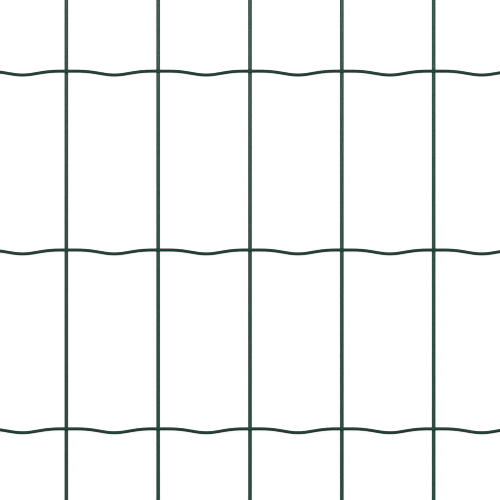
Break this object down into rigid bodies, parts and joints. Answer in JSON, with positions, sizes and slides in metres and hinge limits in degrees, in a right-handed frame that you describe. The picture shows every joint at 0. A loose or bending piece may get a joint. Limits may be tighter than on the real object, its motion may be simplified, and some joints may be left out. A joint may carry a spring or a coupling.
{
  "type": "sheet of welded wire fencing mesh",
  "caption": "Flat sheet of green coated welded wire fencing: straight stays with crimped line wires welded across them, cut from stock by the metre.",
  "frame": {"origin": "under the middle of the sheet, on the plane that the stays rest on", "axes": "+X along the crimped line wires (the fence's length), +Y along the straight stays, upwards on the standing fence, +Z from the stays to the line wires"},
  "size_m": [1, 0.61, 0.0033],
  "materials": {
    "coated_wire": "dark green plastic coat, satin, with bare steel only where the line wires are cut"
  },
  "bodies": {
    "root": {"welded_mesh_sheet": "coated_wire"}
  },
  "joints": []
}
